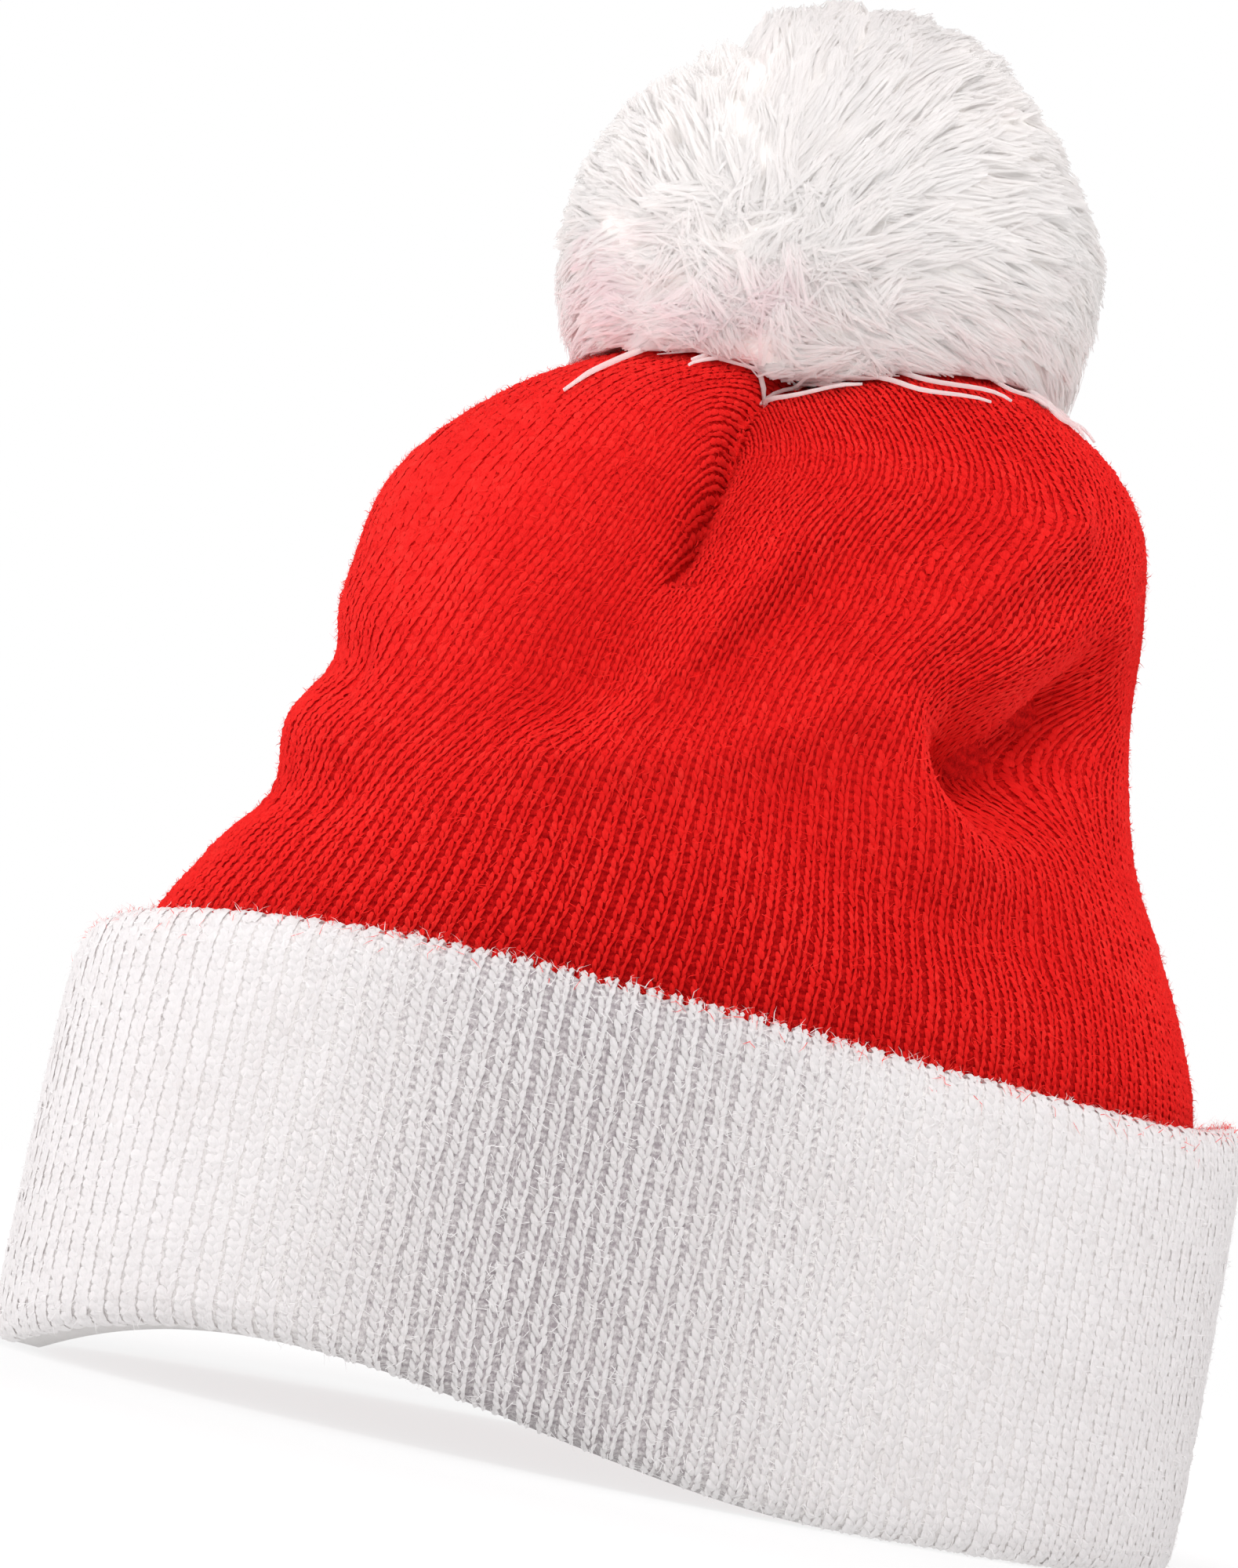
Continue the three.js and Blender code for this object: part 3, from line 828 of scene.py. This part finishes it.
def make_cuff_stitches():
    pieces = []
    courses = np.arange(CUFF_FIRST_COURSE, cuff.length / CUFF_COURSE - 1) * CUFF_COURSE
    ribs = CUFF_FIRST_RIB + np.arange(float(RIBS))
    for name, half in zip(("front", "back"), np.split(ribs, 2)):
        wale, along = (a.ravel() for a in np.meshgrid(half, courses))
        pitch = cuff.girth(along) / RIBS
        spread = np.full_like(wale, LEG_SPREAD)
        felt = cuff_felted(cuff_knit(wale, along))
        places = (cuff, cuff_knit, wale, along, CUFF_COURSE)
        pieces.append(make_stitches("cuff_stitches_" + name, *places, spread, pitch, felt, WHITE_YARN))
    return pieces


def half_gore(along):
    """How many ribs are left each side of a gore's middle, as the darts take the rest in."""
    share = crown.girth(along) / crown.girth(DART_WAY)
    tighter = 1 - (1 - TOP_PITCH) * smooth(along, DART_WAY, CROWN_TOP_WAY)
    return GORE_RIBS / 2 * np.where(along < DART_WAY, 1, np.minimum(1, share / tighter))


def pulled(knit, along):
    """Where the ribs run after the cloth is drawn sideways in places."""
    height = crown_height(along)
    bearing = bearing_of(knit, height)
    shift = np.zeros_like(knit)
    for turn, low, high, middle, left, right in PULLS.values():
        apart = degrees_from(middle, bearing)
        shift += turn * smooth(height, low, high) * hump(apart, 0, np.where(apart < 0, left, right))
    return knit + shift


def make_gore_stitches(gore):
    """The crown's stitches from one dart to the next, cut off at the seams above the darts' ends."""
    middle = FIRST_DART + (gore + 0.5) * GORE

    def knit_of(wale, along):
        ribs = swaying(wale, along, 12, 7, 1.9)
        knit = pulled(middle + GORE / 2 * ribs / half_gore(along), along)
        edge = np.where(along < DART_WAY, GORE, GORE / 2 + SEAM_REACH_DEGREES)
        return middle + np.clip(knit - middle, -edge, edge)

    def reaches(wale, along):
        knit = pulled(middle + GORE / 2 * wale / half_gore(along), along)
        inside = np.abs(knit - middle) < GORE / 2 * (1 + SEAM_REACH_RIBS / half_gore(along))
        return np.where(along < DART_WAY, np.abs(wale) < GORE_RIBS / 2, inside)

    ribs = np.arange(-SPARE_RIBS, GORE_RIBS + SPARE_RIBS) - (GORE_RIBS - 1) / 2
    courses = np.arange(crown_way(CROWN_STITCHES_FROM), CROWN_TOP_WAY, CROWN_COURSE)
    wale, along = (a.ravel() for a in np.meshgrid(ribs, courses))
    kept = reaches(wale, along)
    wale, along = wale[kept], along[kept]
    pitch = crown.girth(along) / (2 * DARTS * half_gore(along))
    spread = LEG_SPREAD + LEG_SPREAD_TOP * smooth(along, crown_way(100), crown_way(165))
    knit = knit_of(wale, along)
    felt = felted(knit, crown.at(knit, along)[..., 2])
    places = (crown, knit_of, wale, along, CROWN_COURSE)
    return make_stitches(f"crown_stitches_{gore + 1}", *places, spread, pitch, felt, RED_YARN)


def make_fuzz(name, cloth, knit, along, fibre, material, shade):
    """Loose fibres, each a narrow ribbon that leaves the yarn and lies along the cloth."""
    count = len(knit)
    shortest, longest, lift, width = fibre
    length = chance.uniform(shortest, longest, count)
    rise = np.abs(chance.normal(0, lift, count))
    root = cloth.at(knit, along, np.full(count, -0.15))
    side = unit(cloth.at(knit + 0.5, along) - cloth.at(knit - 0.5, along))
    up = unit(cloth.at(knit, along + 0.6) - cloth.at(knit, along - 0.6))
    out = unit(np.cross(side, up))
    heading = chance.uniform(0, 2 * math.pi, count)
    bend = heading + chance.normal(0, 0.8, count)

    def towards(turn):
        return side * np.cos(turn)[:, None] + up * np.sin(turn)[:, None]

    middle = root + towards(heading) * length[:, None] / 2 + out * (0.25 + 0.6 * rise)[:, None]
    tip = middle + towards(bend) * length[:, None] / 2 + out * (0.4 * rise)[:, None]
    edge = np.cross(out, towards(heading)) * width / 2
    points = np.stack([root - edge, root + edge, middle + edge * 0.8, middle - edge * 0.8, tip], 1)
    faces = repeated_faces([[0, 1, 2], [0, 2, 3], [3, 2, 4]], 5, count)
    tone = np.repeat(shade + 0.08 * chance.normal(0, 1, count), 5)
    return make_piece(name, points, faces, material, shade=tone)


def make_crown_fuzz():
    """Fibres all over the crown, most of them where it is felted."""
    lowest = crown_way(FIBRES_FROM)
    knit = chance.uniform(0, 360, CROWN_FIBRES)
    along = chance.uniform(lowest, CROWN_TOP_WAY, CROWN_FIBRES)
    felt = felted(knit, crown_height(along))
    share = crown.girth(along) / crown.girth(lowest) * (0.35 + 0.65 * felt)
    kept = chance.uniform(0, 0.62, len(knit)) < share
    # Fibres are painted paler where felted and darker where ribs stand apart: painted light and shade
    shade = 0.02 + 0.05 * felt[kept]
    return make_fuzz("crown_fuzz", crown, knit[kept], along[kept], CROWN_FIBRE, RED_YARN, shade)


def make_cuff_fuzz():
    knit = chance.uniform(0, 360, CUFF_FIBRES)
    along = chance.uniform(2, CUFF_EDGE_WAY, CUFF_FIBRES)
    return make_fuzz("cuff_fuzz", cuff, knit, along, CUFF_FIBRE, WHITE_YARN, shade=0.1)


def make_edge_fuzz():
    """Red fibres rubbed off the crown along the top edge of the cuff."""
    knit = chance.uniform(0, 360, EDGE_FIBRES)
    along = CUFF_EDGE_WAY + chance.normal(0, 2.6, EDGE_FIBRES)
    return make_fuzz("edge_fuzz", cuff, knit, along, EDGE_FIBRE, RED_YARN, shade=0.45)


def crown_top(x, y):
    """Height of the crown's outside above a place, or far below where the crown isn't under it."""
    cell = 2.0
    cells = 110

    def index(value):
        return np.clip((value / cell + cells / 2).astype(int), 0, cells - 1)

    upper = crown.points[len(crown.points) // 2:].reshape(-1, 3)
    tops = np.full((cells, cells), -1e3)
    np.maximum.at(tops, (index(upper[:, 0]), index(upper[:, 1])), upper[:, 2])
    return tops[index(x), index(y)]


def even_directions(count):
    """Directions spread evenly over a ball."""
    i = np.arange(count) + 0.5
    z = 1 - 2 * i / count
    turn = math.pi * (1 + math.sqrt(5)) * i
    ring = np.sqrt(1 - z * z)
    return np.stack([ring * np.cos(turn), ring * np.sin(turn), z], -1)


def yarn_places(u, v, count):
    """Yarn places of a strand's points, moved on from strand to strand."""
    v, u = np.meshgrid(v, u, indexing="ij")
    return np.stack([u, v], -1)[None] + NEXT_STRAND * np.arange(count)[:, None, None, None]


def lie_of(way):
    """The way a strand lies along the pompom's surface, away from the parting."""
    from_parting = way - unit(np.array(PARTED_AT))
    to_gather = unit(np.array(GATHERED_AT)) - way
    far = np.linalg.norm(from_parting, axis=-1, keepdims=True)
    near = np.linalg.norm(to_gather, axis=-1, keepdims=True)
    lie = from_parting / (far**2 + 0.02) + to_gather / (near**2 + 0.02)
    return unit(lie - way * (lie * way).sum(-1, keepdims=True))


def pompom_ball(way):
    """How far the pompom reaches in a direction, before its strands' own differences."""
    reach = np.full(way.shape[:-1], float(POMPOM_RADIUS))
    right = np.degrees(np.arctan2(way[..., 0], way[..., 2]))
    for middle, width, depth in CLEFTS:
        reach -= depth * hump(right, middle, width) * hump(way[..., 1], 0, CLEFT_FADE)
    return reach


def make_pompom_core():
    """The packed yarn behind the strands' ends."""
    rows, columns = 40, 64
    lift = np.linspace(-0.5 * math.pi, 0.5 * math.pi, rows)
    turn, lift = np.meshgrid(np.arange(columns) * 2 * math.pi / columns, lift)
    way = np.stack([np.cos(lift) * np.cos(turn), np.cos(lift) * np.sin(turn), np.sin(lift)], -1)
    radius = pompom_ball(way) - POMPOM_PILE + CORE_DIFFERENCE * chance.normal(0, 1, (rows, columns))
    radius[[0, -1]] = POMPOM_RADIUS - POMPOM_PILE
    points = POMPOM_CENTRE + way * radius[..., None]
    under = crown_top(points[..., 0], points[..., 1]) + CORE_ABOVE
    points[..., 2] = np.maximum(points[..., 2], np.maximum(under, POMPOM_FOOT + 1))
    shade = np.full(rows * columns, YARN_SHADE)
    return make_piece("pompom_core", points, grid_faces(rows, columns), PACKED_YARN, shade=shade)


def make_strands(name, lines, normals, widths, shade):
    """Strands of loose yarn, each a narrow ribbon that lies on the ball."""
    count, rows = lines.shape[:2]
    side = unit(np.cross(unit(np.gradient(lines, axis=1)), normals)) * 0.5 * widths[..., None]
    points = np.stack([lines - side, lines + side], 2)
    one = [[2 * r, 2 * r + 1, 2 * r + 3, 2 * r + 2] for r in range(rows - 1)]
    faces = repeated_faces(one, 2 * rows, count)
    places = yarn_places([-0.4, 0.4], np.arange(rows) * STRAND_LENGTH / rows, count)
    tone = np.repeat(shade, 2 * rows)
    soft = np.repeat(unit(unit(lines - POMPOM_CENTRE) + 0.35 * normals), 2, 1)
    return make_piece(name, points, faces, POMPOM_YARN, shade=tone, uv=places, normals=soft)


def make_pompom_strands():
    """Loose yarn round the pompom, lying outwards from the parting in soft clumps."""
    clump_place, clump_reach, clump_lie, clump_mess = CLUMP_DIFFERENCES
    strand_place, strand_reach, strand_lie, strand_mess = STRAND_DIFFERENCES
    way = even_directions(POMPOM_STRANDS)
    way = unit(way + chance.normal(0, strand_place, way.shape))
    way = way[POMPOM_CENTRE[2] + POMPOM_RADIUS * way[:, 2] > POMPOM_FOOT]
    count = len(way)
    clump_way = even_directions(POMPOM_CLUMPS)
    clump_way = unit(clump_way + chance.normal(0, clump_place, clump_way.shape))
    clump = np.concatenate([np.argmax(part @ clump_way.T, 1) for part in np.array_split(way, 12)])

    # How far each strand's tip reaches, and the way it lies, in disorder close to the parting
    ball = pompom_ball(way)
    reach = ball + chance.normal(0, clump_reach, POMPOM_CLUMPS)[clump]
    reach = reach + chance.normal(0, strand_reach, count)
    reach = np.clip(reach, ball - POMPOM_PILE + STRAND_ROOT, POMPOM_RADIUS + POMPOM_MOST)
    near = hump(way @ unit(np.array(PARTED_AT)), 1, PARTING_WIDTH)[:, None]
    clump_turn = chance.normal(0, 1, (POMPOM_CLUMPS, 3))[clump]
    lie = lie_of(way) + (clump_lie + clump_mess * near) * clump_turn
    lie = unit(lie + (strand_lie + strand_mess * near) * chance.normal(0, 1, way.shape))
    tip_way = unit(way * (1 - CLUMP_PULL) + clump_way[clump] * CLUMP_PULL)
    length = STRAND_LENGTH * chance.uniform(*STRAND_LENGTHS, count) / POMPOM_RADIUS

    # Each strand's line from its root to its tip, resting on the crown where it is low
    t = np.linspace(0, 1, len(STRAND_TAPER))[None, :, None]
    spot = unit(way[:, None] * (1 - t) + tip_way[:, None] * t - (lie * length[:, None])[:, None] * (1 - t))
    root = ball[:, None, None] - POMPOM_PILE - STRAND_ROOT
    lines = POMPOM_CENTRE + spot * (root + (reach[:, None, None] - root) * t**STRAND_CURVE)
    lines = lines + np.sin(np.pi * t) * chance.normal(0, STRAND_BEND, way.shape)[:, None]
    under = crown_top(lines[..., 0], lines[..., 1]) + STRANDS_ABOVE
    lowest = POMPOM_FOOT + chance.normal(0, FOOT_DIFFERENCE, (count, 1))
    lines[..., 2] = np.maximum(lines[..., 2], np.maximum(under, lowest))

    normals = unit(spot + chance.normal(0, STRAND_TILT, way.shape)[:, None])
    widths = STRAND_WIDTH * chance.uniform(*STRAND_WIDTHS, (count, 1)) * STRAND_TAPER
    shade = YARN_SHADE + SHADE_DIFFERENCE * chance.normal(0, 1, count)
    shade = shade + SHADE_DIFFERENCE * chance.normal(0, 1, POMPOM_CLUMPS)[clump]
    # Painted red bounce light from the crown: low strands, most of all on the left, shift towards the pink
    # deep colour
    tip = lines[:, -1]
    painted_bounce_left = 0.5 + 0.5 * smooth(-tip[:, 0], -20, 40)
    shade = shade - PAINTED_BOUNCE * (1 - smooth(tip[:, 2], *PAINTED_BOUNCE_HEIGHTS)) * painted_bounce_left
    pieces = []
    front = tip[:, 1] < 0
    for name, chosen in (("front", front), ("back", ~front)):
        strands = (lines[chosen], normals[chosen], widths[chosen], shade[chosen])
        pieces.append(make_strands("pompom_strands_" + name, *strands))
    return pieces


def make_tubes(lines, radii, sides):
    """Tubes round lines of points, each closed at its far end."""
    count, rings = lines.shape[:2]
    way = unit(np.gradient(lines, axis=1))
    helper = np.where(np.abs(way[..., 2:]) < 0.9, [0.0, 0, 1], [1.0, 0, 0])
    side = unit(np.cross(way, helper))
    up = np.cross(way, side)
    turn = np.arange(sides) * 2 * math.pi / sides
    ring = side[:, :, None] * np.cos(turn)[:, None] + up[:, :, None] * np.sin(turn)[:, None]
    points = lines[:, :, None] + ring * radii[:, :, None, None]
    quads = grid_faces(rings, sides)
    top = (rings - 1) * sides
    end = [(top, top + s + 1, top + s) for s in range(1, sides - 1)]
    one = np.concatenate([quads[:, [0, 2, 1]], quads[:, [0, 3, 2]], end])
    step = np.linalg.norm(np.diff(lines, axis=1), axis=-1).mean()
    places = yarn_places(np.arange(sides), np.arange(rings) * step, count)
    return points.reshape(-1, 3), repeated_faces(one, rings * sides, count), places.reshape(-1, 2)


def knit_at(bearing, height):
    """The place in the knit that shows at a bearing."""
    turn = np.linspace(-260, 260, 1041)
    return np.interp(bearing, bearing_of(turn, height), turn)


def make_loose_ends():
    """Curly yarn ends that lie on the crown, those of the table and more all round."""
    rows = list(LOOSE_ENDS.values())
    for bearing in chance.uniform(-175, 175, MORE_LOOSE_ENDS):
        end = bearing + chance.normal(0, 11)
        low = chance.uniform(*MORE_ENDS_TO)
        rows.append((bearing, MORE_ENDS_FROM, end, low, chance.normal(0, 1), MORE_ENDS_THICK))
    t = np.linspace(0, 1, 15)
    lines, radii = [], []
    for b0, h0, b1, h1, sag, thick in rows:
        curl = t * np.sin(chance.uniform(7, 11) * t + chance.uniform(0, 6))
        height = h0 + (h1 - h0) * t - sag * np.sin(np.pi * t) + 0.7 * curl
        bearing = b0 + (b1 - b0) * t + chance.uniform(0.5, 2) * curl
        knit = np.array([knit_at(b, h) for b, h in zip(bearing, height)])
        lines.append(crown.at(knit, crown_way(height), 0.5 * thick + 0.5 + 0.3 * np.sin(9 * t)))
        radii.append(0.5 * thick * (1 - 0.45 * t**4))
    points, faces, places = make_tubes(np.array(lines), np.array(radii), sides=5)
    shade = np.full(len(points), 0.02)
    return make_piece("loose_ends", points, faces, POMPOM_YARN, shade=shade, uv=places)


crown_cloth = make_crown_cloth()
cuff_cloth = make_cuff_cloth()
crown_stitches = [make_gore_stitches(gore) for gore in range(DARTS)]
cuff_stitches = make_cuff_stitches()
crown_fuzz = make_crown_fuzz()
cuff_fuzz = make_cuff_fuzz()
edge_fuzz = make_edge_fuzz()
pompom_core = make_pompom_core()
pompom_strands = make_pompom_strands()
loose_ends = make_loose_ends()

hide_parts("crown")
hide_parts("cuff")
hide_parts("pompom")

# Stage, in metres: a floor that glows white, a little duller close to the hat, soft lamps all round
# and white surroundings
FLOOR_SIDE = 3
FLOOR_BACK = 6
FLOOR_COLOUR = (0.2, 0.2, 0.2, 1)
GLOW_FROM = 0.12
GLOW_TO = 0.5
GLOW_NEAR = 0.77
GLOW_FAR = 1.0
WHITE = (1, 1, 1, 1)
AMBIENT = 0.04
LAMP_COLOUR = (1, 0.972, 0.98)
LAMPS_AIM = Vector((0, 0, 0.1))
# place, size, watts
LAMPS = {
    "left": ((-1, 0.1, 0.3), (0.5, 0.5), 6.4),
    "right": ((0.95, 0.12, 0.45), (0.6, 0.6), 3.8),
    "top": ((0, -0.1, 1.1), (0.7, 0.7), 2.8),
    "front, high": ((0, -0.8, 0.95), (0.7, 0.5), 7.3),
    "front": ((0, -1.2, 0.4), (0.8, 0.8), 4.4),
    "back": ((0.2, 1.1, 0.6), (0.8, 0.8), 6),
}

# Camera: in front of the hat, a little above the floor, rolled so that the hat leans to the right
EYE = Vector((0, -0.65, 0.034))
TARGET = Vector((-0.0154, 0, 0.1119))
ROLL = math.radians(11.5)
FRAME_HEIGHT = 0.2667
SENSOR = 36


def make_floor():
    mesh = bpy.data.meshes.new("floor")
    side, back = FLOOR_SIDE, FLOOR_BACK
    corners = [(-side, -side, 0), (side, -side, 0), (side, back, 0), (-side, back, 0)]
    mesh.from_pydata(corners, [], [(0, 1, 2, 3)])
    add_object("floor", mesh)
    material, tree, shader = new_material("floor")
    set_inputs(shader, {"Base Color": FLOOR_COLOUR, "Emission Color": WHITE})
    set_inputs(shader, {"Roughness": 1.0, "Specular IOR Level": 0.0})
    place = node(tree, "ShaderNodeTexCoord")
    away = node(tree, "ShaderNodeVectorMath", operation="LENGTH")
    glow = node(
        tree, "ShaderNodeMapRange", From_Min=GLOW_FROM, From_Max=GLOW_TO, To_Min=GLOW_NEAR, To_Max=GLOW_FAR
    )
    tree.links.new(place.outputs["Object"], away.inputs[0])
    tree.links.new(away.outputs["Value"], glow.inputs["Value"])
    tree.links.new(glow.outputs["Result"], shader.inputs["Emission Strength"])
    mesh.materials.append(material)


def make_lamps():
    for name, (place, size, watts) in LAMPS.items():
        lamp = bpy.data.lights.new(name, "AREA")
        lamp.shape = "RECTANGLE"
        lamp.size, lamp.size_y = size
        lamp.energy = watts
        lamp.color = LAMP_COLOUR
        holder = add_object(name, lamp)
        holder.location = place
        holder.rotation_euler = (LAMPS_AIM - Vector(place)).to_track_quat("-Z", "Y").to_euler()


def make_surroundings():
    """White where the camera sees past the floor, and a faint even light on the hat."""
    world = bpy.data.worlds.new("surroundings")
    bpy.context.scene.world = world
    world.use_nodes = True
    tree = world.node_tree
    ambient = tree.nodes["Background"]
    set_inputs(ambient, {"Color": WHITE, "Strength": AMBIENT})
    seen = node(tree, "ShaderNodeBackground", Color=WHITE, Strength=1.0)
    path = node(tree, "ShaderNodeLightPath")
    either = node(tree, "ShaderNodeMixShader")
    tree.links.new(path.outputs["Is Camera Ray"], either.inputs["Fac"])
    tree.links.new(ambient.outputs[0], either.inputs[1])
    tree.links.new(seen.outputs[0], either.inputs[2])
    tree.links.new(either.outputs[0], tree.nodes["World Output"].inputs["Surface"])


def make_camera():
    camera = bpy.data.cameras.new("camera")
    holder = add_object("camera", camera)
    aim = (TARGET - EYE).to_track_quat("-Z", "Y").to_matrix().to_4x4()
    holder.matrix_world = Matrix.Translation(EYE) @ aim @ Matrix.Rotation(ROLL, 4, "Z")
    camera.sensor_fit = "VERTICAL"
    camera.sensor_height = SENSOR
    camera.lens = SENSOR * (TARGET - EYE).length / FRAME_HEIGHT
    bpy.context.scene.camera = holder


make_floor()
make_lamps()
make_surroundings()
make_camera()
bpy.context.scene.view_settings.view_transform = "Standard"
bpy.context.scene.cycles.diffuse_bounces = 8
